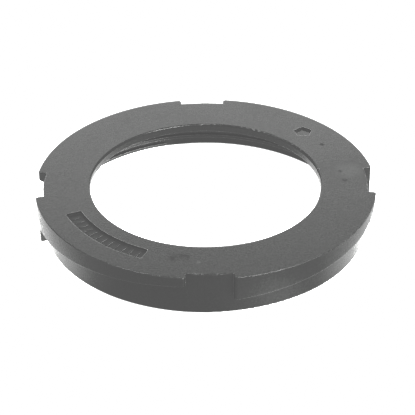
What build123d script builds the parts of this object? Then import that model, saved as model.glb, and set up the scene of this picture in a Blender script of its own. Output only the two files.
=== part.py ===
from build123d import *
import math
import os

# Screwed locking ring for a 110 mm toilet outlet: a cap-shaped plastic moulding that holds a slip washer
# and a rubber gasket under its lip. Millimetres and degrees. The origin is on the ring's axis, level with
# the bottom of the skirt, and +Z points up towards the flat top face. Azimuths are counted anticlockwise
# from +X, seen from above.

# Overall shape
height = 21.0
rim_radius = 82.5
skirt_radius = 78.6
bore_radius = 56.0
flange_thickness = 4.0
seat_z = height - flange_thickness

# Spanner notches through the rim
notch_count = 4
notch_half_angle = 7.9
notch_outer_round = 1.2
notch_pitch_angle = 360 / notch_count

# Ramped underside of each rim segment, from its deep end to its thin end. It also falls towards the skirt.
ramp_low_z = 8.8
ramp_high_z = 16.4
ramp_inward_fall = 0.45
ramp_span_angle = notch_pitch_angle - 2 * notch_half_angle
ramp_overrun_angle = 3.0

# Two stop lugs that hang below the deep ends, on opposite sides
lug_azimuths = (0, 180)
lug_span_angle = 7.9
lug_low_z = 2.7

# Female thread on the inside of the skirt
thread_root_radius = 73.3
thread_crest_radius = 72.0
thread_pitch = 3.5
thread_turns = 2.2
thread_crest_width = 1.5
thread_flank_slope = 0.38
thread_start_azimuth = 105.4
thread_start_z = 1.7
thread_trim = 0.6

# Recesses in the top face and the nick in the bore's edge
label_inner_radius = 64.2
label_outer_radius = 71.8
label_azimuths = (202.2, 244.6)
label_depth = 1.2
label_corner_round = 0.8
tick_count = 12
tick_size = (4.6, 1.1, 0.3)
tick_margin_angle = 3.0
mark_centre = (50.6, 47.4)
mark_radius = 4.8
mark_depth = 0.9
mark_corner_round = 0.4
nick_azimuth = 11.0
nick_size = (1.1, 1.0, 2.6)

# Edge rounds
rim_edge_round = 0.4
ramp_edge_round = 0.4
bore_edge_round = 1.0
lip_edge_round = 0.3
bottom_edge_round = 0.5
mouth_chamfer = 0.3
root_round = 0.4

# Slip washer and gasket, loose in the space between the lip and the thread
washer_outer_radius = 72.8
slip_inner_radius = 61.5
slip_thickness = 1.2
gasket_inner_radius = 63.0
gasket_face_radii = (65.5, 71.4)
gasket_thickness = 3.7
gasket_bevel_height = 2.1
gasket_edge_round = 0.4

merge = 2.0  # how far the rim's segments are sunk into the skirt
reach = 5.0  # how far a cutting shape stands past the surface that it cuts


def wedge(start, end, radius):
    """A pie slice in plan, from the axis out to a radius, between two azimuths less than 180 apart."""
    far = radius / math.cos(math.radians((end - start) / 2))
    corners = [(far * math.cos(math.radians(a)), far * math.sin(math.radians(a))) for a in (start, end)]
    return make_face(Polyline((0, 0), *corners, close=True))


def annulus(inner, outer):
    return Circle(outer) - Circle(inner)


def arc_pad(inner, outer, start, end):
    """A curved pad in plan, between two radii and two azimuths."""
    return annulus(inner, outer) & wedge(start, end, outer + reach)


def plan_radius(point):
    return math.hypot(point.X, point.Y)


def at_radius(vertices, radius):
    return vertices.filter_by(lambda v: abs(plan_radius(v) - radius) < 0.01)


def turned(profile):
    """A solid of revolution about the ring's axis from (radius, z) points."""
    return revolve(Plane.XZ * make_face(Polyline(*profile, close=True)), Axis.Z)


def circles_at(solid, radius):
    circles = solid.edges().filter_by(GeomType.CIRCLE)
    return circles.filter_by(lambda e: abs(e.radius - radius) < 0.01).sort_by(Axis.Z)


def skirt_and_flange():
    """The round body: a flat lip on top and a plain skirt with the thread's root inside."""
    body = turned([
        (bore_radius, seat_z),
        (bore_radius, height),
        (skirt_radius, height),
        (skirt_radius, 0),
        (thread_root_radius, 0),
        (thread_root_radius, seat_z),
    ])
    body = fillet(circles_at(body, thread_root_radius)[-1:], root_round)
    body = fillet(circles_at(body, bore_radius)[-1:], bore_edge_round)
    body = fillet(circles_at(body, bore_radius)[:1], lip_edge_round)
    body = fillet(circles_at(body, skirt_radius)[-1:], rim_edge_round)
    body = chamfer(circles_at(body, thread_root_radius)[:1], mouth_chamfer)
    return fillet(circles_at(body, skirt_radius)[:1], bottom_edge_round)


def ramp_cutter(start):
    """Everything below a segment's helical underside, from an angle past its deep end onwards."""
    rise_per_degree = (ramp_high_z - ramp_low_z) / ramp_span_angle
    turn = ramp_span_angle + ramp_overrun_angle - start
    path = Helix(pitch=rise_per_degree * 360, height=rise_per_degree * turn, radius=rim_radius)
    inner = skirt_radius - merge - reach
    outer = rim_radius + reach
    section = Plane.XZ * make_face(Polyline(
        (inner, -2 * height),
        (outer, -2 * height),
        (outer, ramp_inward_fall * (outer - rim_radius)),
        (inner, ramp_inward_fall * (inner - rim_radius)),
        close=True,
    ))
    start_z = ramp_low_z + rise_per_degree * start
    return Rot(0, 0, start) * Pos(0, 0, start_z) * sweep(section, path=path, is_frenet=True)


def is_low_outer_edge(edge):
    """True for a segment's bottom edges that run along the rim's outer face, not up it."""
    middle = edge @ 0.5
    along = edge.geom_type != GeomType.LINE
    return along and middle.Z < seat_z and plan_radius(middle) > (skirt_radius + rim_radius) / 2


def rim_segment(has_lug):
    """One segment of the rim, from its deep end at azimuth 0, with a stop lug below that end or none."""
    plan = arc_pad(skirt_radius - merge, rim_radius, 0, ramp_span_angle)
    plan = fillet(at_radius(plan.vertices(), rim_radius), notch_outer_round)
    segment = extrude(plan, height)
    top_edges = segment.faces().sort_by(Axis.Z)[-1].edges()
    segment = fillet(top_edges.sort_by(lambda e: plan_radius(e @ 0.5))[1:], rim_edge_round)
    segment -= ramp_cutter(lug_span_angle if has_lug else -ramp_overrun_angle)
    if has_lug:
        segment -= Pos(0, 0, lug_low_z - height) * Cylinder(2 * rim_radius, 2 * height)
    low_edges = segment.edges().filter_by(is_low_outer_edge)
    return fillet(low_edges, ramp_edge_round)


def thread_ridge():
    """A single-start right-hand ridge with square ends, trimmed to a true cylinder at its crest."""
    def half_width(radius):
        return thread_crest_width / 2 + thread_flank_slope * (radius - thread_crest_radius)

    tip = thread_crest_radius - thread_trim
    base = thread_root_radius + thread_trim
    section = Plane.XZ * make_face(Polyline(
        (tip, -half_width(tip)),
        (base, -half_width(base)),
        (base, half_width(base)),
        (tip, half_width(tip)),
        close=True,
    ))
    path = Helix(pitch=thread_pitch, height=thread_pitch * thread_turns, radius=thread_crest_radius)
    ridge = Pos(0, 0, thread_start_z) * sweep(section, path=path, is_frenet=True)
    ridge -= Pos(0, 0, height / 2) * Cylinder(thread_crest_radius, height)
    return Rot(0, 0, thread_start_azimuth) * ridge


def label_pocket():
    """A curved recess in the top face, with a row of plain raised ticks left standing in it."""
    plan = arc_pad(label_inner_radius, label_outer_radius, *label_azimuths)
    plan = fillet(plan.vertices(), label_corner_round)
    pocket = Pos(0, 0, height - label_depth) * extrude(plan, label_depth + reach)
    length, width, rise = tick_size
    middle = (label_inner_radius + label_outer_radius) / 2
    first = label_azimuths[0] + tick_margin_angle
    step = (label_azimuths[1] - label_azimuths[0] - 2 * tick_margin_angle) / (tick_count - 1)
    floor = Pos(middle, 0, height - label_depth + rise / 2)
    for i in range(tick_count):
        pocket -= Rot(0, 0, first + i * step) * floor * Box(length, width, rise)
    return pocket


def mark_pocket():
    """A shallow five-sided recess in the top face."""
    plan = RegularPolygon(mark_radius, 5, rotation=90)
    plan = fillet(plan.vertices(), mark_corner_round)
    return Pos(*mark_centre, height - mark_depth) * extrude(plan, mark_depth + reach)


def bore_nick():
    """A small upright nick in the bore's wall, open at the top."""
    depth, width, drop = nick_size
    at = Pos(bore_radius, 0, height - drop / 2 + reach / 2)
    return Rot(0, 0, nick_azimuth) * at * Box(2 * depth, width, drop + reach)


def locking_ring():
    """The whole moulding."""
    ring = skirt_and_flange()
    for i in range(notch_count):
        azimuth = i * notch_pitch_angle
        ring += Rot(0, 0, azimuth + notch_half_angle) * rim_segment(has_lug=azimuth in lug_azimuths)
    ring += thread_ridge()
    return ring - label_pocket() - mark_pocket() - bore_nick()


def slip_washer():
    """A thin hard washer under the lip that lets the ring turn without dragging the gasket."""
    low_z = seat_z - slip_thickness
    return Pos(0, 0, low_z) * extrude(annulus(slip_inner_radius, washer_outer_radius), slip_thickness)


def gasket():
    """A rubber ring, bevelled below, which the spigot's end presses up against the slip washer."""
    high_z = seat_z - slip_thickness
    low_z = high_z - gasket_thickness
    bevel_z = low_z + gasket_bevel_height
    face_inner_radius, face_outer_radius = gasket_face_radii
    body = turned([
        (gasket_inner_radius, high_z),
        (washer_outer_radius, high_z),
        (washer_outer_radius, bevel_z),
        (face_outer_radius, low_z),
        (face_inner_radius, low_z),
        (gasket_inner_radius, bevel_z),
    ])
    return fillet(circles_at(body, washer_outer_radius), gasket_edge_round)


def main():
    os.makedirs("parts", exist_ok=True)
    pieces = {"locking_ring": locking_ring(), "slip_washer": slip_washer(), "gasket": gasket()}
    for name, piece in pieces.items():
        export_step(piece, f"parts/{name}.step")
        print(name, "valid", piece.is_valid, "solids", len(piece.solids()), "volume", round(piece.volume))


main()
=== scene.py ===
"""A moulded plastic toilet flange ring, with its slip washer and gasket, on a light table."""
import math

import bpy
from mathutils import Matrix, Vector


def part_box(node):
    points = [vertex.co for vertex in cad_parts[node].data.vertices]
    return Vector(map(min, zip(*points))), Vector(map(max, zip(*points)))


MM = 0.001

# Camera, in degrees and in metres from the middle of the ring's top face
VIEW_AZIMUTH = 268.8
VIEW_ELEVATION = 31.69
VIEW_DISTANCE = 0.825
VIEW_ROLL = -0.19
LENS_MM = 147.5
SENSOR_MM = 36.0
AIM_BELOW_TOP = 0.0147
AIM_TO_THE_RIGHT = 0.0009

# Scuffs on the top face, later ones over earlier ones: azimuth in degrees, radius and size in millimetres, and
# grey level. The darkest ones are dull as well.
SCUFFS = (
    (256, 66.5, 4.5, 0.02),
    (260, 65.0, 4.0, 0.02),
    (266, 69.0, 1.5, 0.1),
    (7, 71.0, 9.0, 0.085),
    (7, 66.5, 1.6, 0.005),
    (0, 67.5, 1.8, 0.005),
    (30, 68.5, 1.8, 0.01),
    (123, 73.0, 6.0, 0.03),
    (143, 69.0, 6.0, 0.035),
)
DARKEST_GLOSSY_SCUFF = 0.025
SCUFF_DULLNESS = 0.25

# Lamps: name, azimuth and elevation in degrees, distance, width and height in metres, watts, and whether the
# lamp shows only in reflections
LAMPS = (
    ("back_softbox", 96, 27, 0.6, 0.55, 0.28, 0.66, False),
    ("right_softbox", -40, 48, 1.0, 0.6, 0.6, 5.0, False),
    ("right_strip", -38, 60, 1.0, 0.35, 0.2, 9.0, True),
    ("left_strip", 203, 60, 1.0, 0.25, 0.2, 5.0, True),
)

# The table's glow away from the object, and the band of radii, hidden under the skirt, where it changes
TABLE_GLOW = 0.76
UNDER_SKIRT = (73 * MM, 78 * MM)

# The room's brightness on the photographer's side and on the far side
ROOM_NEAR = 0.25
ROOM_FAR = 0.73

FLOOR_HALF_SIZE = 6.0

# Tone curve, in linear light: the darkest tones close up under the veil, and the table burns out to white
VEIL = 0.0844
TONE_CURVE = ((0.0, 0.074), (0.04, VEIL), (0.11, 0.11), (0.5, 0.5), (0.68, 1.0))


# ---------------------------------------------------------------- node helpers


class Graph:
    """A node tree with short ways to add and link nodes."""

    def __init__(self, tree):
        self.tree = tree
        tree.nodes.clear()

    def add(self, kind, **settings):
        node = self.tree.nodes.new(kind)
        for name, value in settings.items():
            setattr(node, name, value)
        return node

    def put(self, socket, value):
        """Links an output socket to an input, or sets the input to a constant."""
        if isinstance(value, bpy.types.NodeSocket):
            self.tree.links.new(value, socket)
        else:
            socket.default_value = value

    def math(self, operation, a, b):
        node = self.add("ShaderNodeMath", operation=operation)
        self.put(node.inputs[0], a)
        self.put(node.inputs[1], b)
        return node.outputs[0]

    def noise(self, where, scale, detail=2.0, roughness=0.5):
        node = self.add("ShaderNodeTexNoise")
        self.put(node.inputs["Vector"], where)
        node.inputs["Scale"].default_value = scale
        node.inputs["Detail"].default_value = detail
        node.inputs["Roughness"].default_value = roughness
        return node.outputs["Fac"]

    def remap(self, value, from_low, from_high, to_low=0.0, to_high=1.0):
        """A smooth step that takes one range to another, and stays flat past its ends."""
        node = self.add("ShaderNodeMapRange", clamp=True, interpolation_type="SMOOTHSTEP")
        self.put(node.inputs["Value"], value)
        node.inputs["From Min"].default_value = from_low
        node.inputs["From Max"].default_value = from_high
        node.inputs["To Min"].default_value = to_low
        node.inputs["To Max"].default_value = to_high
        return node.outputs["Result"]

    def mix(self, factor, a, b):
        node = self.add("ShaderNodeMix", data_type="RGBA")
        self.put(node.inputs["Factor"], factor)
        self.put(node.inputs["A"], a)
        self.put(node.inputs["B"], b)
        return node.outputs["Result"]

    def scaled(self, where, factors):
        node = self.add("ShaderNodeVectorMath", operation="MULTIPLY")
        self.put(node.inputs[0], where)
        node.inputs[1].default_value = factors
        return node.outputs["Vector"]

    def distance(self, where, point):
        node = self.add("ShaderNodeVectorMath", operation="DISTANCE")
        self.put(node.inputs[0], where)
        node.inputs[1].default_value = point
        return node.outputs["Value"]

    def faces_up(self, threshold):
        """1 wherever the surface faces straight up, and 0 where it leans past a threshold."""
        parts = self.add("ShaderNodeSeparateXYZ")
        self.put(parts.inputs[0], self.add("ShaderNodeNewGeometry").outputs["Normal"])
        return self.remap(parts.outputs["Z"], threshold, 1.0)

    def bump(self, height, distance, strength, normal=None):
        node = self.add("ShaderNodeBump")
        self.put(node.inputs["Height"], height)
        node.inputs["Distance"].default_value = distance
        node.inputs["Strength"].default_value = strength
        if normal is not None:
            self.put(node.inputs["Normal"], normal)
        return node.outputs["Normal"]


def new_material(name):
    """A material, its graph, its shader and its object coordinates in metres."""
    material = bpy.data.materials.new(name)
    material.use_nodes = True
    graph = Graph(material.node_tree)
    shader = graph.add("ShaderNodeBsdfPrincipled")
    output = graph.add("ShaderNodeOutputMaterial")
    graph.put(output.inputs["Surface"], shader.outputs["BSDF"])
    where = graph.add("ShaderNodeTexCoord").outputs["Object"]
    return material, graph, shader, where


def grey(level, tint=(1.0, 1.0, 1.0)):
    return tuple(level * t for t in tint) + (1.0,)


def edge_mask(graph, radius):
    """1 on a convex or concave edge and 0 on a flat, from how far a rounded normal leans."""
    rounded = graph.add("ShaderNodeBevel", samples=6)
    rounded.inputs["Radius"].default_value = radius
    flat = graph.add("ShaderNodeNewGeometry").outputs["Normal"]
    dot = graph.add("ShaderNodeVectorMath", operation="DOT_PRODUCT")
    graph.put(dot.inputs[0], rounded.outputs["Normal"])
    graph.put(dot.inputs[1], flat)
    return graph.remap(dot.outputs["Value"], 0.999, 0.93)


# ------------------------------------------------------------------- materials


def ring_plastic():
    """Near-black moulded plastic: spark grain, cloudy gloss, streaks round its walls, and edges painted pale,
    partly as wear and partly as painted highlights.
    """
    material, graph, shader, where = new_material("ring_plastic")
    cloud = graph.noise(where, 28.0, detail=3.0)
    mottle = graph.noise(where, 420.0, detail=3.0, roughness=0.6)
    grain = graph.noise(where, 1200.0, detail=2.0, roughness=0.6)
    streak = graph.noise(graph.scaled(where, (12.0, 12.0, 1500.0)), 1.0, detail=1.0)
    coordinates = graph.add("ShaderNodeSeparateXYZ")
    graph.put(coordinates.inputs[0], where)
    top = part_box("locking_ring")[1].z
    recess = graph.remap(coordinates.outputs["Z"], top - 0.3 * MM, top - 0.5 * MM)
    recess = graph.math("MULTIPLY", recess, graph.faces_up(0.9))
    label_side = graph.remap(coordinates.outputs["X"], 0.0, -10 * MM)
    recess = graph.math("MULTIPLY", recess, label_side)
    # Edge mask for lighter edges: partly real wear, partly a painted highlight standing in for the glints that
    # rounded edges catch. It is weaker in the recesses.
    wear_and_painted_highlight = graph.math("MULTIPLY", edge_mask(graph, 0.5 * MM), graph.remap(mottle, 0.35, 0.6, 0.4, 1.0))
    wear_and_painted_highlight = graph.math("MULTIPLY", wear_and_painted_highlight, graph.remap(recess, 0.0, 1.0, 1.0, 0.15))

    tint = (1.0, 1.04, 1.0)
    body = graph.mix(graph.remap(cloud, 0.3, 0.7), grey(0.048, tint), grey(0.057, tint))
    body = graph.mix(graph.remap(grain, 0.35, 0.65, 0.0, 0.9), body, grey(0.028, tint))
    # Edges mixed towards pale grey: wear plus a painted edge highlight
    body = graph.mix(wear_and_painted_highlight, body, grey(0.55))
    dulled = 0.0
    for azimuth, radius, size, level in SCUFFS:
        a = math.radians(azimuth)
        centre = (radius * MM * math.cos(a), radius * MM * math.sin(a), top)
        place = graph.remap(graph.distance(where, centre), 0.3 * size * MM, size * MM, 1.0, 0.0)
        ragged = graph.math("MULTIPLY", place, graph.remap(mottle, 0.4, 0.6, 0.35, 1.0))
        body = graph.mix(ragged, body, grey(level, tint))
        if level < DARKEST_GLOSSY_SCUFF:
            dulled = graph.math("MAXIMUM", ragged, dulled)
    graph.put(shader.inputs["Base Color"], body)

    gloss = graph.remap(cloud, 0.3, 0.7, 0.22, 0.3)
    gloss = graph.math("ADD", gloss, graph.remap(mottle, 0.3, 0.7, -0.03, 0.04))
    gloss = graph.math("ADD", gloss, graph.math("MULTIPLY", recess, 0.28))
    gloss = graph.math("ADD", gloss, graph.math("MULTIPLY", dulled, SCUFF_DULLNESS))
    graph.put(shader.inputs["Roughness"], gloss)
    shader.inputs["IOR"].default_value = 1.47

    relief = graph.bump(grain, 0.1 * MM, 0.7)
    relief = graph.bump(mottle, 0.03 * MM, 0.3, relief)
    relief = graph.bump(streak, 0.04 * MM, 0.5, relief)
    graph.put(shader.inputs["Normal"], relief)
    return material


def washer_plastic():
    """Natural white hard plastic, cloudy in tone and gloss, with fine specks and a little dirt."""
    material, graph, shader, where = new_material("washer_plastic")
    cloud = graph.noise(where, 40.0, detail=3.0)
    speck = graph.noise(where, 900.0, detail=2.0)
    cream, ivory, dirt = grey(0.62, (1.0, 0.97, 0.88)), grey(0.7, (1.0, 0.98, 0.92)), grey(0.35, (1.0, 0.93, 0.8))
    body = graph.mix(graph.remap(cloud, 0.3, 0.7), cream, ivory)
    body = graph.mix(graph.remap(speck, 0.62, 0.75, 0.0, 0.4), body, dirt)
    graph.put(shader.inputs["Base Color"], body)
    graph.put(shader.inputs["Roughness"], graph.remap(cloud, 0.3, 0.7, 0.32, 0.45))
    graph.put(shader.inputs["Normal"], graph.bump(speck, 0.02 * MM, 0.5))
    return material


def gasket_rubber():
    """Matt black rubber with a fine bloom and a pebbled moulding grain."""
    material, graph, shader, where = new_material("gasket_rubber")
    bloom = graph.noise(where, 55.0, detail=4.0, roughness=0.6)
    pebble = graph.noise(where, 1500.0, detail=2.0)
    body = graph.mix(graph.remap(bloom, 0.35, 0.7), grey(0.018), grey(0.035, (1.0, 1.0, 1.03)))
    graph.put(shader.inputs["Base Color"], body)
    graph.put(shader.inputs["Roughness"], graph.remap(bloom, 0.3, 0.7, 0.62, 0.8))
    graph.put(shader.inputs["Normal"], graph.bump(pebble, 0.06 * MM, 0.6))
    return material


def light_table():
    """A white acrylic table lit from beneath, unevenly: it is brightest close beside the object."""
    material, graph, shader, where = new_material("light_table")
    haze = graph.noise(where, 3.0, detail=2.0)
    graph.put(shader.inputs["Base Color"], graph.mix(haze, grey(0.1), grey(0.12)))
    shader.inputs["Roughness"].default_value = 0.9
    shader.inputs["Specular IOR Level"].default_value = 0.1
    coordinates = graph.add("ShaderNodeSeparateXYZ")
    graph.put(coordinates.inputs[0], where)
    across = coordinates.outputs["X"]
    out = graph.distance(where, (0, 0, 0))
    side = graph.math("DIVIDE", across, out)
    past_skirt = graph.remap(out, *UNDER_SKIRT)
    within_skirt = graph.remap(out, *UNDER_SKIRT, 1.0, 0.0)

    left = graph.remap(side, -0.55, -1.0, 0.0, 2.0)
    right = graph.remap(side, 0.55, 1.0, 0.0, 2.0)
    fading = graph.remap(out, 82 * MM, 100 * MM, 1.0, 0.28)
    beside = graph.math("MULTIPLY", graph.math("ADD", left, right), fading)
    spot = graph.remap(graph.distance(where, (36 * MM, -86 * MM, 0)), 0.0, 36 * MM, 1.35, 0.0)
    outside = graph.math("MULTIPLY", graph.math("ADD", beside, spot), past_skirt)

    centre_left = graph.remap(across, 5 * MM, -15 * MM, 0.0, 0.7)
    centre_right = graph.remap(across, 10 * MM, 44 * MM, 0.0, 2.0)
    far_left = graph.remap(across, -15 * MM, -44 * MM, 0.0, 1.4)
    centre = graph.math("ADD", graph.math("ADD", centre_left, centre_right), far_left)
    centre = graph.math("MULTIPLY", centre, graph.remap(out, 54 * MM, 62 * MM, 1.0, 0.0))
    wall = graph.remap(across, -12 * MM, -24 * MM, 0.0, 2.0)
    wall = graph.math("MULTIPLY", wall, graph.remap(out, 58 * MM, 66 * MM))
    inside = graph.math("MULTIPLY", graph.math("ADD", centre, wall), within_skirt)
    glow = graph.math("ADD", graph.math("ADD", outside, inside), TABLE_GLOW)
    shader.inputs["Emission Color"].default_value = (1, 1, 1, 1)
    graph.put(shader.inputs["Emission Strength"], glow)
    return material


# ---------------------------------------------------------------------- studio


def build_floor():
    mesh = bpy.data.meshes.new("floor")
    size = FLOOR_HALF_SIZE
    corners = [(-size, -size, 0), (size, -size, 0), (size, size, 0), (-size, size, 0)]
    mesh.from_pydata(corners, [], [(0, 1, 2, 3)])
    floor = bpy.data.objects.new("floor", mesh)
    bpy.context.scene.collection.objects.link(floor)
    mesh.materials.append(light_table())


def on_sphere(azimuth, elevation, distance, centre):
    """A point at an azimuth and elevation in degrees about a centre."""
    a, e = math.radians(azimuth), math.radians(elevation)
    out = Vector((math.cos(e) * math.cos(a), math.cos(e) * math.sin(a), math.sin(e)))
    return Vector(centre) + distance * out


def add_softbox(name, azimuth, elevation, distance, width, height, power, glint_only):
    """A rectangular light that faces the object, with its size in metres and its power in watts."""
    light = bpy.data.lights.new(name, "AREA")
    light.shape = "RECTANGLE"
    light.size = width
    light.size_y = height
    light.energy = power
    lamp = bpy.data.objects.new(name, light)
    lamp.location = on_sphere(azimuth, elevation, distance, (0, 0, 0))
    lamp.rotation_euler = lamp.location.to_track_quat("Z", "Y").to_euler()
    lamp.visible_camera = False
    lamp.visible_diffuse = not glint_only
    bpy.context.scene.collection.objects.link(lamp)


def build_lights():
    for lamp in LAMPS:
        add_softbox(*lamp)


def build_surroundings():
    """A plain pale room that is dimmer on the photographer's side."""
    world = bpy.data.worlds.new("studio")
    world.use_nodes = True
    bpy.context.scene.world = world
    graph = Graph(world.node_tree)
    direction = graph.add("ShaderNodeTexCoord").outputs["Generated"]
    parts = graph.add("ShaderNodeSeparateXYZ")
    graph.put(parts.inputs[0], direction)
    room = graph.add("ShaderNodeBackground")
    graph.put(room.inputs["Color"], graph.remap(parts.outputs["Y"], -0.6, 0.4, ROOM_NEAR, ROOM_FAR))
    output = graph.add("ShaderNodeOutputWorld")
    graph.put(output.inputs["Surface"], room.outputs[0])


def expose():
    """A high-key exposure: a veil of stray light lifts the blacks, and the table itself burns out."""
    view = bpy.context.scene.view_settings
    view.view_transform = "Standard"
    view.use_curve_mapping = True
    tone = view.curve_mapping.curves[3]
    tone.points[0].location = TONE_CURVE[0]
    for x, y in TONE_CURVE[1:]:
        tone.points.new(x, y)
    for point in tone.points:
        point.handle_type = "VECTOR"
    view.curve_mapping.update()


def build_camera():
    """A long lens, from the photograph's angle."""
    top_middle = Vector((0, 0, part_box("locking_ring")[1].z))
    place = on_sphere(VIEW_AZIMUTH, VIEW_ELEVATION, VIEW_DISTANCE, top_middle)
    across = Vector((-math.sin(math.radians(VIEW_AZIMUTH)), math.cos(math.radians(VIEW_AZIMUTH)), 0))
    aim = top_middle - Vector((0, 0, AIM_BELOW_TOP)) + AIM_TO_THE_RIGHT * across
    data = bpy.data.cameras.new("camera")
    data.lens = LENS_MM
    data.sensor_width = SENSOR_MM
    data.clip_start = 0.01
    camera = bpy.data.objects.new("camera", data)
    bpy.context.scene.collection.objects.link(camera)
    facing = (place - aim).to_track_quat("Z", "Y").to_matrix().to_4x4()
    roll = Matrix.Rotation(math.radians(VIEW_ROLL), 4, "Z")
    camera.matrix_world = Matrix.Translation(place) @ facing @ roll
    bpy.context.scene.camera = camera


def finish_node(name, material):
    """Puts a material on every slot of a CAD node."""
    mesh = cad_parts[name].data
    mesh.materials.clear()
    mesh.materials.append(material)


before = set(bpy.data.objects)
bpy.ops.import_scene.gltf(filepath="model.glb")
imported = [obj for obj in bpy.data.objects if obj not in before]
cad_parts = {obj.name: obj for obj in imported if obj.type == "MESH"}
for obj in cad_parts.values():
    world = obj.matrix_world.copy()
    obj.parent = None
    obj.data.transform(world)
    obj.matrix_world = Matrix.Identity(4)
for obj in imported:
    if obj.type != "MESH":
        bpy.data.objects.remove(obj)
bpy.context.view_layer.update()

finish_node("locking_ring", ring_plastic())
finish_node("slip_washer", washer_plastic())
finish_node("gasket", gasket_rubber())
build_floor()
build_lights()
build_surroundings()
expose()
build_camera()
